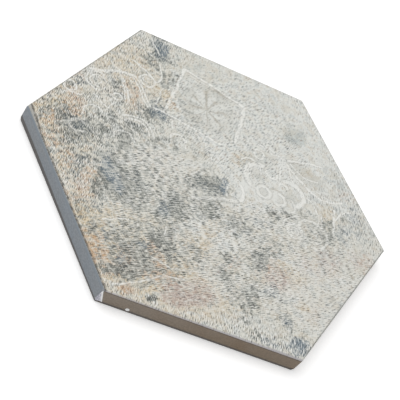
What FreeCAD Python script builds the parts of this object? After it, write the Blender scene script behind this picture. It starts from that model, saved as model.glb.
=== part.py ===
"""A hexagonal glazed porcelain floor tile, in millimetres.

The tile is one pressed and fired slab, so it is one solid. It lies face up: the back
rests on Z = 0 and the glazed face is at Z = thickness. Two of its six corners lie on the
X axis and two of its sides face along Y.

From the face down, its edge is a soft cushion, a plain upright side, and a heel that
draws in towards the back so that the mortar can wrap round it. The back has a honeycomb
of shallow keying pockets between ribs, a plain border, and a plain pad at its centre.
One corner has lost a thin flake of clay, and the side beside it has one small nick.
"""
import FreeCAD
import Part

import math
import os

# Driving dimensions of the slab
across_flats = 175.0
thickness = 10.0
corner_radius = 1.4

# Edge: the cushion round the face, and the heel round the back
cushion_width = 1.0
cushion_drop = 0.5
heel_inset = 0.6
heel_height = 1.8

# Keying pockets in the back, in rings round a plain centre pad
pocket_rings = 4
border_width = 9.0
rib_width = 2.6
pocket_depth = 0.8
pocket_draft = 0.5

# Flake lost from one corner: a flat break that widens from near the face to the back
flake_corner = 4
flake_point_above_face = 1.5
flake_on_front_side = 4.0
flake_on_left_side = 0.6

# Nick in the front side, beside the flaked corner and just above the heel
nick_from_flaked_corner = 15.3
nick_above_heel = 0.7
nick_length = 2.0
nick_depth = 0.4

SIDES = 6
STEP_ANGLE = 360.0 / SIDES
HALF_STEP = STEP_ANGLE / 2.0
FLAT_TO_CORNER = 1.0 / math.cos(math.radians(HALF_STEP))
UP = FreeCAD.Vector(0, 0, 1)
apothem = across_flats / 2.0


def direction(degrees):
    """Unit vector in the plane of the tile, at an angle from +X."""
    turn = math.radians(degrees)
    return FreeCAD.Vector(math.cos(turn), math.sin(turn), 0)


def corner_point(number, flat_distance):
    """Corner of a hexagon whose flats are at flat_distance from the centre."""
    return direction(number * STEP_ANGLE) * (flat_distance * FLAT_TO_CORNER)


def hexagon_wire(centre, flat_distance, turn):
    """Closed hexagon in a level plane, with its first corner at the angle turn."""
    reach = flat_distance * FLAT_TO_CORNER
    points = [centre + direction(turn + k * STEP_ANGLE) * reach for k in range(SIDES)]
    return Part.makePolygon(points + points[:1])


def edge_section(origin, outward):
    """Upright section of the tile's edge, from the corner's centre line out to the side.

    The cushion is an arc that leaves the face level and meets the side at an arris.
    """

    def at(inset, height):
        return origin + outward * (corner_radius - inset) + UP * height

    arc_radius = (cushion_width**2 + cushion_drop**2) / (2 * cushion_drop)
    half_angle = math.asin(cushion_width / arc_radius) / 2
    middle_inset = cushion_width - arc_radius * math.sin(half_angle)
    middle_height = thickness - arc_radius * (1 - math.cos(half_angle))

    back_inner = at(corner_radius, 0)
    back_edge = at(heel_inset, 0)
    heel_top = at(0, heel_height)
    arris = at(0, thickness - cushion_drop)
    cushion_middle = at(middle_inset, middle_height)
    face_edge = at(cushion_width, thickness)
    face_inner = at(corner_radius, thickness)
    edges = [
        Part.LineSegment(back_inner, back_edge).toShape(),
        Part.LineSegment(back_edge, heel_top).toShape(),
        Part.LineSegment(heel_top, arris).toShape(),
        Part.Arc(arris, cushion_middle, face_edge).toShape(),
        Part.LineSegment(face_edge, face_inner).toShape(),
        Part.LineSegment(face_inner, back_inner).toShape(),
    ]
    return Part.Face(Part.Wire(edges))


def slab():
    """The slab with its moulded edge: a core, and the edge section run round it."""
    inner_flat = apothem - corner_radius
    core = Part.Face(hexagon_wire(FreeCAD.Vector(), inner_flat, 0)).extrude(UP * thickness)
    pieces = []
    for number in range(SIDES):
        centre = corner_point(number, inner_flat)
        following = corner_point(number + 1, inner_flat)
        before = direction(number * STEP_ANGLE - HALF_STEP)
        after = direction(number * STEP_ANGLE + HALF_STEP)
        pieces.append(edge_section(centre, before).revolve(centre, UP, STEP_ANGLE))
        pieces.append(edge_section(centre, after).extrude(following - centre))
    return core.multiFuse(pieces).removeSplitter()


def keying_pocket(centre, mouth_flat):
    """One hexagonal pocket in the back, narrower at its floor."""
    mouth = hexagon_wire(centre, mouth_flat, HALF_STEP)
    floor = hexagon_wire(centre + UP * pocket_depth, mouth_flat - pocket_draft, HALF_STEP)
    return Part.makeLoft([mouth, floor], True, True)


def keying_pockets():
    """Rings of pockets, spaced so that the outer ring just reaches the border.

    Rows of pockets lie one pitch over FLAT_TO_CORNER apart, and the last pocket reaches
    half a mouth further, so that the pitch follows from the border and the rib.
    """
    field = apothem - border_width
    rows = pocket_rings / FLAT_TO_CORNER + FLAT_TO_CORNER / 2
    pitch = (field + rib_width / 2 * FLAT_TO_CORNER) / rows
    mouth_flat = (pitch - rib_width) / 2
    pockets = []
    for ring in range(1, pocket_rings + 1):
        for number in range(SIDES):
            start = direction(number * STEP_ANGLE) * (ring * pitch)
            along = direction((number + 2) * STEP_ANGLE) * pitch
            pockets += [keying_pocket(start + along * k, mouth_flat) for k in range(ring)]
    return pockets


def corner_flake():
    """What the flake took away: all that lies outside a plane across one corner."""
    corner = corner_point(flake_corner, apothem)
    to_front = (corner_point(flake_corner + 1, apothem) - corner).normalize()
    to_left = (corner_point(flake_corner - 1, apothem) - corner).normalize()
    point = corner + UP * (thickness + flake_point_above_face)
    front_foot = corner + to_front * flake_on_front_side
    left_foot = corner + to_left * flake_on_left_side
    break_plane = Part.Plane(point, front_foot, left_foot)
    outward = break_plane.Axis
    if outward.dot(corner) < 0:
        outward = outward * -1
    reach = thickness * 2
    return break_plane.toShape(-reach, reach, -reach, reach).extrude(outward * reach)


def side_nick():
    """Ball that scoops a small nick out of the front side."""
    corner = corner_point(flake_corner, apothem)
    along = (corner_point(flake_corner + 1, apothem) - corner).normalize()
    outward = direction(flake_corner * STEP_ANGLE + HALF_STEP)
    ball_radius = (nick_length**2 / 4 + nick_depth**2) / (2 * nick_depth)
    middle = corner + along * nick_from_flaked_corner + UP * (heel_height + nick_above_heel)
    return Part.makeSphere(ball_radius, middle + outward * (ball_radius - nick_depth))


def hexagon_tile():
    """The whole tile: the slab less its pockets, its flake and its nick."""
    tile = slab().cut(keying_pockets())
    return tile.cut([corner_flake(), side_nick()])


os.makedirs("parts", exist_ok=True)
tile = hexagon_tile()
print("solids", len(tile.Solids), "valid", tile.isValid(), "faces", len(tile.Faces))
print("volume mm3", round(tile.Volume, 1), "box", tile.BoundBox)
tile.Solids[0].exportStep("parts/hexagon_tile.step")
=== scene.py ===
import math

import bmesh
import bpy
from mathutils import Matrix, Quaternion, Vector


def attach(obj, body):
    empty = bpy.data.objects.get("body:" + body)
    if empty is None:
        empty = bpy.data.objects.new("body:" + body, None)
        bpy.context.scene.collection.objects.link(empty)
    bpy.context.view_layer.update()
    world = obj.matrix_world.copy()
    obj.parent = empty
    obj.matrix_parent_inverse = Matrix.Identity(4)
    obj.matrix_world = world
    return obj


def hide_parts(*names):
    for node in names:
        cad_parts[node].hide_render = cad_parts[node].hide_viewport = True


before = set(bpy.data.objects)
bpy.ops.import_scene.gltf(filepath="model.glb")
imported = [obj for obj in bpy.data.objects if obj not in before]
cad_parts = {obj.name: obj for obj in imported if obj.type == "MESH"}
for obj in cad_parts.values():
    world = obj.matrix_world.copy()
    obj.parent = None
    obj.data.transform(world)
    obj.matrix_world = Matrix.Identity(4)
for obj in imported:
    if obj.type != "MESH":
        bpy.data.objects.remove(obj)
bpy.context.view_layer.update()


# The pressed slab. The tile is one hexagon of porcelain clay, pressed face up in a steel
# mould: a level face, a soft cushion, an arris, an upright side and a drawn-in heel. One
# sixth of it is modelled, face, edge and corner, and turned round the middle.
mm = 0.001
across_flats = 175.0 * mm
thickness = 10.0 * mm
corner_radius = 1.4 * mm
cushion_width = 1.0 * mm
cushion_drop = 0.5 * mm
heel_inset = 0.6 * mm
heel_height = 1.8 * mm
side_heights = (9.2, 8.8, 8.2, 7.4, 6.4, 5.4, 4.4, 3.4, 2.6)
apothem = across_flats / 2
flat_to_corner = 1 / math.cos(math.radians(30))
core_apothem = apothem - corner_radius
core_corner = core_apothem * flat_to_corner / 2
hair = 0.01 * mm


def only(tile, kind, wanted):
    """Selects the wanted verts, edges or faces of the mesh in hand, and nothing else."""
    mesh = bmesh.from_edit_mesh(tile.data)
    mesh.select_mode = {{"verts": "VERT", "edges": "EDGE", "faces": "FACE"}[kind]}
    for part in (*mesh.verts, *mesh.edges, *mesh.faces):
        part.select = False
    for part in getattr(mesh, kind):
        if wanted(part):
            part.select_set(True)
    bmesh.update_edit_mesh(tile.data)


def coat(tile, name, wanted):
    """Adds a material to the wanted faces of the tile, and gives its nodes."""
    finish = bpy.data.materials.new(name)
    finish.use_nodes = True
    tile.data.materials.append(finish)
    tile.active_material_index = len(tile.data.materials) - 1
    only(tile, "faces", wanted)
    bpy.ops.object.material_slot_assign()
    return finish.node_tree


bpy.ops.object.select_all(action="DESELECT")
bpy.ops.mesh.primitive_circle_add(
    vertices=3, radius=core_apothem * 2 / 3, fill_type="NGON",
    location=(0, -core_apothem * 2 / 3, thickness))
tile = bpy.context.object
tile.name = tile.data.name = "hexagon_tile_glazed"
bpy.ops.object.transform_apply(location=True, rotation=True, scale=True)
bpy.ops.object.mode_set(mode="EDIT")
bpy.ops.mesh.select_all(action="SELECT")
bpy.ops.mesh.subdivide(number_cuts=99)

arc_radius = (cushion_width**2 + cushion_drop**2) / (2 * cushion_drop)
arc_end = math.asin(cushion_width / arc_radius)
edge_rows = [(cushion_width, thickness)]
for k in range(1, 6):
    turn = arc_end * k / 5
    edge_rows.append((cushion_width - arc_radius * math.sin(turn),
                      thickness - arc_radius * (1 - math.cos(turn))))
edge_rows += [(0, height * mm) for height in side_heights]
edge_rows += [(0, heel_height), (heel_inset / 2, heel_height / 2), (heel_inset, 0)]
only(tile, "edges", lambda e: all(v.co.y < -core_apothem + hair for v in e.verts))
inset, height = corner_radius, thickness
for next_inset, next_height in edge_rows:
    bpy.ops.mesh.extrude_region_move(
        TRANSFORM_OT_translate={"value": (0, next_inset - inset, next_height - height)})
    inset, height = next_inset, next_height

only(tile, "faces", lambda f: f.calc_center_median().y < -core_apothem
     and f.calc_center_median().z > thickness - 3 * cushion_drop)
bpy.ops.mesh.subdivide(number_cuts=1)

only(tile, "edges", lambda e: all(
    v.co.x > core_corner - hair and v.co.y < -core_apothem + hair for v in e.verts))
bpy.ops.mesh.spin(steps=5, angle=math.radians(-60), center=(core_corner, -core_apothem, 0),
                  axis=(0, 0, 1))
bpy.ops.mesh.select_all(action="SELECT")
bpy.ops.mesh.remove_doubles(threshold=hair)
bpy.ops.mesh.select_all(action="SELECT")
bpy.ops.mesh.spin(steps=5, dupli=True, angle=math.radians(300), center=(0, 0, 0), axis=(0, 0, 1))
bpy.ops.mesh.select_all(action="SELECT")
bpy.ops.mesh.remove_doubles(threshold=hair)


def put(nodes, kind, feeds=None, **settings):
    """Adds a node with its settings, and feeds its sockets with values or with other outputs."""
    made = nodes.nodes.new("ShaderNode" + kind)
    for setting, value in settings.items():
        setattr(made, setting, value)
    for socket, feed in (feeds or {}).items():
        if isinstance(feed, bpy.types.NodeSocket):
            nodes.links.new(feed, made.inputs[socket])
        else:
            made.inputs[socket].default_value = feed
    return made


def reckon(nodes, operation, *terms):
    """Output of a math node."""
    return put(nodes, "Math", dict(enumerate(terms)), operation=operation).outputs[0]


def aim(nodes, operation, *terms, scale=None):
    """Outputs of a vector math node: the vector, then the value."""
    feeds = dict(enumerate(terms))
    if scale is not None:
        feeds[3] = scale
    return put(nodes, "VectorMath", feeds, operation=operation).outputs


def ramp(nodes, value, low, high, to_low=0.0, to_high=1.0):
    """Output of a soft step from low to high."""
    feeds = {0: value, 1: low, 2: high, 3: to_low, 4: to_high}
    made = put(nodes, "MapRange", feeds, interpolation_type="SMOOTHSTEP", clamp=False)
    return made.outputs[0]


def lay(nodes, under, over, share, how="MIX"):
    """Output of one colour laid over another, by a share of 0 to 1."""
    made = put(nodes, "Mix", data_type="RGBA", blend_type=how)
    for socket, feed in ((0, share), (6, under), (7, over)):
        if isinstance(feed, bpy.types.NodeSocket):
            nodes.links.new(feed, made.inputs[socket])
        else:
            made.inputs[socket].default_value = feed
    return made.outputs[2]


def tint(code):
    """A colour from its six-digit code, as the shader takes it."""
    parts = [int(code[k:k + 2], 16) / 255 for k in (1, 3, 5)]
    return (*[p / 12.92 if p < 0.04045 else ((p + 0.055) / 1.055) ** 2.4 for p in parts], 1)


def effect(name, takes, gives):
    """A shader node group with named inputs and outputs: the group and its two ends."""
    group = bpy.data.node_groups.new(name, "ShaderNodeTree")
    for socket, (kind, value) in takes.items():
        made = group.interface.new_socket(socket, in_out="INPUT", socket_type="NodeSocket" + kind)
        made.default_value = value
    for socket, kind in gives.items():
        group.interface.new_socket(socket, in_out="OUTPUT", socket_type="NodeSocket" + kind)
    return (group, group.nodes.new("NodeGroupInput").outputs,
            group.nodes.new("NodeGroupOutput").inputs)


def use(nodes, group, **feeds):
    """Places an effect in a material. An input's name is written with _ for a space."""
    made = nodes.nodes.new("ShaderNodeGroup")
    made.node_tree = group
    for name, feed in feeds.items():
        socket = made.inputs[name.replace("_", " ")]
        if isinstance(feed, bpy.types.NodeSocket):
            nodes.links.new(feed, socket)
        else:
            socket.default_value = feed
    return made.outputs


def fire(nodes, colour, roughness, relief, depth, strength):
    """Gives a finish its colour, its roughness and its finest relief."""
    skin = nodes.nodes["Principled BSDF"]
    nodes.links.new(colour, skin.inputs["Base Color"])
    nodes.links.new(roughness, skin.inputs["Roughness"])
    bumps = put(nodes, "Bump", {"Height": relief, "Distance": depth, "Strength": strength})
    nodes.links.new(bumps.outputs[0], skin.inputs["Normal"])


# Place on the tile in millimetres, how far in it lies from the nearest side, and its height.
tile_place, given, made = effect(
    "place_on_tile", {}, {"Place": "Vector", "Inset": "Float", "Height": "Float"})
in_metres = put(tile_place, "TexCoord").outputs["Object"]
in_mm = aim(tile_place, "SCALE", in_metres, scale=1 / mm)[0]
reaches = []
for side in (30, 90, 150):
    across = (math.cos(math.radians(side)), math.sin(math.radians(side)), 0)
    reach = aim(tile_place, "DOT_PRODUCT", in_mm, across)[1]
    reaches.append(reckon(tile_place, "ABSOLUTE", reach))
farthest = reckon(tile_place, "MAXIMUM", reckon(tile_place, "MAXIMUM", *reaches[:2]), reaches[2])
tile_place.links.new(in_mm, made["Place"])
tile_place.links.new(reckon(tile_place, "SUBTRACT", apothem / mm, farthest), made["Inset"])
tile_place.links.new(put(tile_place, "SeparateXYZ", {0: in_mm}).outputs["Z"], made["Height"])

# Grain of fired clay or ink: clouds of a given size in millimetres, spread over 0 to 1.
grain, given, made = effect(
    "fired_grain", {"Place": ("Vector", (0, 0, 0)), "Size": ("Float", 1.0)}, {"Grain": "Float"})
fineness = reckon(grain, "DIVIDE", 1.0, given["Size"])
clouds = put(grain, "TexNoise", {"Vector": given["Place"], "Scale": fineness, "Detail": 2.0,
                                 "Roughness": 0.6})
grain.links.new(ramp(grain, clouds.outputs[0], 0.28, 0.72), made["Grain"])

side_finish = coat(tile, "fired_side", lambda f: True)
spot = use(side_finish, tile_place)
broad = use(side_finish, grain, Place=spot["Place"], Size=14.0)["Grain"]
fine = use(side_finish, grain, Place=spot["Place"], Size=0.9)["Grain"]
along_x = put(side_finish, "SeparateXYZ", {0: spot["Place"]}).outputs["X"]
# The sides are painted darker towards the right: painted shade, as if the light came from the
# left.
clay_and_painted_light = lay(side_finish, tint("#8f8172"), tint("#83705a"), ramp(side_finish, along_x, -45.0, 40.0))

# The near left side is painted a cooler grey than the others: painted cool light on that side.
left_side = (math.cos(math.radians(210)), math.sin(math.radians(210)), 0)
to_left_side = aim(side_finish, "DOT_PRODUCT", spot["Place"], left_side)[1]
clay_and_painted_light = lay(side_finish, clay_and_painted_light, tint("#8f979f"), ramp(side_finish, to_left_side, 86.2, 86.8))
clay_and_painted_light = lay(side_finish, clay_and_painted_light, tint("#9a958c"), reckon(side_finish, "MULTIPLY", broad, 0.22))
clay_and_painted_light = lay(side_finish, clay_and_painted_light, tint("#5f5a55"), reckon(side_finish, "MULTIPLY", fine, 0.26))

# The heel is painted dark, as painted shade, and this band of shade rises towards the left
# corner. The front side has a dark line under the arris and one near-black spot.
front_right = (math.cos(math.radians(300)), math.sin(math.radians(300)), 0)
along_left = aim(side_finish, "DOT_PRODUCT", spot["Place"], front_right)[1]
shade_height = ramp(side_finish, along_left, 46.0, -40.0, 2.4, 3.9)
above_shade = reckon(side_finish, "SUBTRACT", spot["Height"], shade_height)
clay_and_painted_light = lay(side_finish, clay_and_painted_light, tint("#55504c"), ramp(side_finish, above_shade, 0.0, -0.7, 0.0, 0.85))
under_arris = reckon(side_finish, "MULTIPLY", ramp(side_finish, spot["Height"], 8.7, 9.2),
                     ramp(side_finish, to_left_side, 86.8, 86.2))
clay_and_painted_light = lay(side_finish, clay_and_painted_light, tint("#544d46"), reckon(side_finish, "MULTIPLY", under_arris, 0.65))
# A near-black spot low on the front side, by its right-hand corner.
from_dark_spot = aim(side_finish, "DISTANCE", spot["Place"], (50.0, -87.0, 1.0))[1]
clay_and_painted_light = lay(side_finish, clay_and_painted_light, tint("#1f1c1a"), ramp(side_finish, from_dark_spot, 1.7, 0.9, 0.0, 0.95))
fire(side_finish, clay_and_painted_light, ramp(side_finish, fine, 0.0, 1.0, 0.62, 0.78), fine, 0.05 * mm, 0.5)


# The keying pockets. The mould's lower punch presses a honeycomb of shallow pockets into
# the back, in four rings round a plain pad, so that the adhesive gets a hold.
pocket_rings = 4
border_width = 9.0 * mm
rib_width = 2.6 * mm
pocket_depth = 0.8 * mm
pocket_draft = 0.5 * mm
pocket_rows = pocket_rings / flat_to_corner + flat_to_corner / 2
pocket_pitch = (apothem - border_width + rib_width / 2 * flat_to_corner) / pocket_rows


def heading(degrees):
    """Unit vector in the plane of the tile."""
    return Vector((math.cos(math.radians(degrees)), math.sin(math.radians(degrees)), 0))


def side_distance(place):
    """How far out a point lies, square to the nearest side."""
    return max(abs(place.dot(heading(turn))) for turn in (30, 90, 150))


bpy.ops.mesh.primitive_circle_add(
    vertices=6, radius=pocket_pitch / 2 * flat_to_corner, fill_type="NGON", location=(0, 0, 0))
last_place = Vector((0, 0, 0))
for ring in range(1, pocket_rings + 1):
    for k in range(6):
        for step in range(ring):
            place = (heading(60 * k) * ring + heading(60 * k + 120) * step) * pocket_pitch
            bpy.ops.mesh.duplicate_move(TRANSFORM_OT_translate={"value": place - last_place})
            last_place = place
only(tile, "faces", lambda f: f.calc_center_median().z < hair)
bpy.ops.mesh.remove_doubles(threshold=hair)
only(tile, "edges", lambda e: e.is_boundary)
bpy.ops.mesh.fill(use_beauty=True)
only(tile, "faces", lambda f: len(f.verts) == 6 and f.calc_center_median().z < hair
     and f.calc_center_median().length > pocket_pitch / 2)
bpy.ops.mesh.inset(thickness=rib_width / 2, depth=0, use_individual=True)
bpy.ops.mesh.inset(thickness=pocket_draft, depth=pocket_depth, use_individual=True)
bpy.ops.mesh.select_all(action="SELECT")
bpy.ops.mesh.normals_make_consistent(inside=False)

back_finish = coat(tile, "bare_back", lambda f: f.calc_center_median().z < pocket_depth + hair
                   and side_distance(f.calc_center_median()) < apothem - heel_inset)
spot = use(back_finish, tile_place)
broad = use(back_finish, grain, Place=spot["Place"], Size=22.0)["Grain"]
fine = use(back_finish, grain, Place=spot["Place"], Size=0.8)["Grain"]
biscuit = lay(back_finish, tint("#a79d90"), tint("#b9b0a2"), broad)
biscuit = lay(back_finish, biscuit, tint("#857b70"), reckon(back_finish, "MULTIPLY", fine, 0.3))
in_pocket = ramp(back_finish, spot["Height"], 0.1, 0.7)
biscuit = lay(back_finish, biscuit, tint("#d3ccc1"),
              reckon(back_finish, "MULTIPLY", in_pocket, 0.45))
fire(back_finish, biscuit, ramp(back_finish, fine, 0.0, 1.0, 0.74, 0.92), fine, 0.08 * mm, 0.6)


# The lost flake and the nick. A flat flake has broken from one corner, narrow under the
# face and wide at the back, and a small chip is out of the side next to it. Both show the
# pale inside of the clay.
flake_point_above_face = 1.5 * mm
flake_on_front_side = 4.0 * mm
flake_on_left_side = 0.6 * mm
flake_corner = heading(240) * apothem * flat_to_corner
to_front = (heading(300) - heading(240)).normalized()
to_left = (heading(180) - heading(240)).normalized()
flake_point = flake_corner + Vector((0, 0, thickness + flake_point_above_face))
front_foot = flake_corner + to_front * flake_on_front_side
left_foot = flake_corner + to_left * flake_on_left_side
break_normal = (front_foot - flake_point).cross(left_foot - flake_point).normalized()
if break_normal.dot(flake_corner) < 0:
    break_normal.negate()
bpy.ops.mesh.select_all(action="SELECT")
bpy.ops.mesh.bisect(plane_co=flake_point, plane_no=break_normal, threshold=hair / 100,
                    clear_outer=True, use_fill=True)


def on_break(face):
    """True for the face that the flake left."""
    off_plane = (face.calc_center_median() - flake_point).dot(break_normal)
    return abs(off_plane) < hair and face.normal.dot(break_normal) > 0.9999


break_finish = coat(tile, "fresh_break", on_break)
bpy.ops.mesh.poke()
bpy.ops.mesh.subdivide(number_cuts=5)
bpy.ops.object.mode_set(mode="OBJECT")

nick_from_flaked_corner = 15.3 * mm
nick_above_heel = 0.7 * mm
nick_length = 2.0 * mm
nick_depth = 0.4 * mm
nick_radius = (nick_length**2 / 4 + nick_depth**2) / (2 * nick_depth)
nick_middle = flake_corner + to_front * nick_from_flaked_corner
nick_middle += Vector((0, 0, heel_height + nick_above_heel))
nick_middle += heading(270) * (nick_radius - nick_depth)
bpy.ops.mesh.primitive_ico_sphere_add(subdivisions=4, radius=nick_radius, location=nick_middle)
nick_ball = bpy.context.object
nick_ball.data.materials.append(bpy.data.materials["fresh_break"])
cut = tile.modifiers.new("nick", "BOOLEAN")
cut.operation = "DIFFERENCE"
cut.solver = "EXACT"
cut.material_mode = "TRANSFER"
cut.object = nick_ball
bpy.context.view_layer.objects.active = tile
bpy.ops.object.modifier_apply(modifier=cut.name)
bpy.data.objects.remove(nick_ball)

spot = use(break_finish, tile_place)
coarse = use(break_finish, grain, Place=spot["Place"], Size=1.6)["Grain"]
fine = use(break_finish, grain, Place=spot["Place"], Size=0.5)["Grain"]
chip = lay(break_finish, tint("#c9c8d2"), tint("#aeaebc"), coarse)
chip = lay(break_finish, chip, tint("#f4f4f4"), ramp(break_finish, fine, 0.6, 0.9))

# It is bruised to white along its front rim, on its foot and all over the nick.
chip_place = put(break_finish, "SeparateXYZ", {0: spot["Place"]}).outputs
front_rim = ramp(break_finish, chip_place["Y"], 0.24 - apothem / mm, 0.1 - apothem / mm)
back_rim = ramp(break_finish, spot["Height"], 0.9, 0.3)
in_nick = ramp(break_finish, chip_place["X"], -44.0, -42.0)
bruised = reckon(break_finish, "MAXIMUM", front_rim, back_rim)
bruised = reckon(break_finish, "MAXIMUM", bruised, in_nick)
chip = lay(break_finish, chip, tint("#fbfbfb"), bruised)
fire(break_finish, chip, ramp(break_finish, fine, 0.0, 1.0, 0.7, 0.9), coarse, 0.12 * mm, 0.7)


# Wear and relief. Handling has nibbled the arris, the break is rough, and the face keeps
# the faint brushed relief of the upper punch. Each goes inwards from the pressed shape.
nibble_width = 0.45 * mm
break_rim = 0.5 * mm
relief_fade = 3.0 * mm
untouched_foot = 0.2 * mm


def near_arris(place):
    """1 on the arris, fading within a millimetre of it."""
    gap = math.hypot(apothem - side_distance(place), thickness - cushion_drop - place.z)
    return math.exp(-(gap / nibble_width) ** 2)


def in_break(place):
    """1 inside the break, 0 on its rim and everywhere else."""
    if abs((place - flake_point).dot(break_normal)) > hair:
        return 0
    rim = min(place.z, thickness - place.z, apothem - side_distance(place))
    return min(1, max(0, rim / break_rim))


def on_face(place):
    """1 on the level face, fading over the last three millimetres before the cushion."""
    if place.z < thickness - hair:
        return 0
    return min(1, (apothem - cushion_width - side_distance(place)) / relief_fade)


def press_in(name, weight_at, depth, grain_size, contrast, finer_clouds):
    """Pushes the surface in by up to depth, in clouds of the given size, where weight_at says."""
    weights = tile.vertex_groups.new(name=name)
    for vertex in tile.data.vertices:
        weight = weight_at(vertex.co) if vertex.co.z > untouched_foot else 0
        if weight > 0.01:
            weights.add([vertex.index], weight, "REPLACE")
    clouds = bpy.data.textures.new(name, "CLOUDS")
    clouds.noise_scale = grain_size
    clouds.noise_depth = finer_clouds
    clouds.contrast = contrast
    clouds.use_clamp = True
    push = tile.modifiers.new(name, "DISPLACE")
    push.texture = clouds
    push.texture_coords = "LOCAL"
    push.vertex_group = name
    push.mid_level = 1.0
    push.strength = depth
    bpy.context.view_layer.objects.active = tile
    bpy.ops.object.modifier_apply(modifier=push.name)
    tile.vertex_groups.remove(tile.vertex_groups[name])


press_in("nibbled arris", near_arris, 0.14 * mm, grain_size=1.5 * mm, contrast=1.5, finer_clouds=2)
press_in("rough break", in_break, 0.7 * mm, grain_size=2.2 * mm, contrast=1.4, finer_clouds=2)
press_in("brushed face", on_face, 0.16 * mm, grain_size=9.0 * mm, contrast=1.0, finer_clouds=1)


# The print. A cream glaze with the faded inks of an old patchwork floor, printed in passes
# and fired matt: soft washes, earth colours, grey and blue grains, a worn white ornament of
# a rosette, leaves and scrolls, and the dabs of a dry brush over all of it.
bpy.ops.object.mode_set(mode="EDIT")
face_finish = coat(tile, "printed_glaze", lambda f: f.normal.z > 0.45
                   and f.calc_center_median().z > thickness / 2 and f.material_index == 0)
bpy.ops.object.mode_set(mode="OBJECT")

# One soft-edged stain of ink, an ellipse by its centre and its two headings, each of them
# divided by the half size that way.
stain, given, made = effect(
    "ink_stain",
    {"Place": ("Vector", (0, 0, 0)), "Centre": ("Vector", (0, 0, 0)),
     "Along": ("Vector", (1, 0, 0)), "Across": ("Vector", (0, 1, 0)), "Depth": ("Float", 1.0)},
    {"Ink": "Float"})
off_centre = aim(stain, "SUBTRACT", given["Place"], given["Centre"])[0]
along = aim(stain, "DOT_PRODUCT", off_centre, given["Along"])[1]
across = aim(stain, "DOT_PRODUCT", off_centre, given["Across"])[1]
squared = reckon(stain, "MULTIPLY", along, along)
squared = reckon(stain, "MULTIPLY_ADD", across, across, squared)
stain.links.new(ramp(stain, squared, 2.2, 0.0, 0.0, given["Depth"]), made["Ink"])

# One straight stroke of a fine brush, by its start, its run and its half width.
stroke, given, made = effect(
    "brush_line",
    {"Place": ("Vector", (0, 0, 0)), "Start": ("Vector", (0, 0, 0)),
     "Along": ("Vector", (1, 0, 0)), "Half Width": ("Float", 0.5), "Depth": ("Float", 1.0)},
    {"Ink": "Float"})
off_start = aim(stroke, "SUBTRACT", given["Place"], given["Start"])[0]
reach = aim(stroke, "DOT_PRODUCT", off_start, given["Along"])[1]
whole = aim(stroke, "DOT_PRODUCT", given["Along"], given["Along"])[1]
share = reckon(stroke, "DIVIDE", reach, whole)
share = reckon(stroke, "MINIMUM", reckon(stroke, "MAXIMUM", share, 0.0), 1.0)
foot = aim(stroke, "SCALE", given["Along"], scale=share)[0]
gap = aim(stroke, "DISTANCE", off_start, foot)[1]
in_widths = reckon(stroke, "DIVIDE", gap, given["Half Width"])
stroke.links.new(ramp(stroke, in_widths, 2.1, 0.2, 0.0, given["Depth"]), made["Ink"])

# One bent stroke: part of a circle by its centre, its radius, the heading of its middle and
# the cosine of its half turn, which is under -1 for a whole ring.
curl, given, made = effect(
    "brush_curl",
    {"Place": ("Vector", (0, 0, 0)), "Centre": ("Vector", (0, 0, 0)), "Radius": ("Float", 1.0),
     "Middle": ("Vector", (1, 0, 0)), "Least Cosine": ("Float", -2.0),
     "Half Width": ("Float", 0.5), "Depth": ("Float", 1.0)},
    {"Ink": "Float"})
off_centre = aim(curl, "SUBTRACT", given["Place"], given["Centre"])[0]
reach = aim(curl, "LENGTH", off_centre)[1]
gap = reckon(curl, "ABSOLUTE", reckon(curl, "SUBTRACT", reach, given["Radius"]))
in_widths = reckon(curl, "DIVIDE", gap, given["Half Width"])
line = ramp(curl, in_widths, 2.1, 0.2, 0.0, given["Depth"])
cosine = reckon(curl, "DIVIDE", aim(curl, "DOT_PRODUCT", off_centre, given["Middle"])[1], reach)
past = reckon(curl, "SUBTRACT", cosine, given["Least Cosine"])
curl.links.new(reckon(curl, "MULTIPLY", line, ramp(curl, past, -0.05, 0.08)), made["Ink"])

# Dabs of a dry brush, by their heading, length and width in millimetres: 0 in the middle of
# a dab, 1 in the gaps between dabs, where the ink below still shows.
dabs, given, made = effect(
    "dry_brush",
    {"Place": ("Vector", (0, 0, 0)), "Turn": ("Vector", (0, 0, 0)),
     "Size": ("Vector", (2, 0.8, 1))},
    {"Gaps": "Float"})
along = put(dabs, "Mapping", {0: given["Place"], 2: given["Turn"], 3: given["Size"]},
            vector_type="TEXTURE").outputs[0]
drawn_out = aim(dabs, "MULTIPLY", along, (0.3, 1.0, 1.0))[0]
hairs = put(dabs, "TexNoise", {"Vector": drawn_out, "Scale": 1.0, "Detail": 1.0, "Roughness": 0.6})
cells = put(dabs, "TexVoronoi", {"Vector": along, "Scale": 1.0}, voronoi_dimensions="2D")
gaps = reckon(dabs, "MULTIPLY", cells.outputs["Distance"], 0.2)
gaps = reckon(dabs, "MULTIPLY_ADD", hairs.outputs[0], 1.6, gaps)
dabs.links.new(reckon(dabs, "MULTIPLY_ADD", gaps, 1.6, -0.95), made["Gaps"])


def plus(one, other):
    """The sum of two values on the face."""
    return reckon(face_finish, "ADD", one, other)


def less(whole, part):
    """One value on the face less another."""
    return reckon(face_finish, "SUBTRACT", whole, part)


def times(one, other):
    """The product of two values on the face."""
    return reckon(face_finish, "MULTIPLY", one, other)


def size_of(value):
    """A value on the face without its sign."""
    return reckon(face_finish, "ABSOLUTE", value)


def fade(value, low, high, to_low=0.0, to_high=1.0):
    """A soft step of a value on the face."""
    return ramp(face_finish, value, low, high, to_low, to_high)


def over(under, code, share):
    """Lays one plain colour over the glaze so far, by a share of 0 to 1."""
    return lay(face_finish, under, tint(code), share)


spot = use(face_finish, tile_place)
level = aim(face_finish, "MULTIPLY", spot["Place"], (1, 1, 0))[0]


def towards(way):
    """How far the place on the face lies from the middle, in one direction."""
    return aim(face_finish, "DOT_PRODUCT", level, way)[1]


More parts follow.
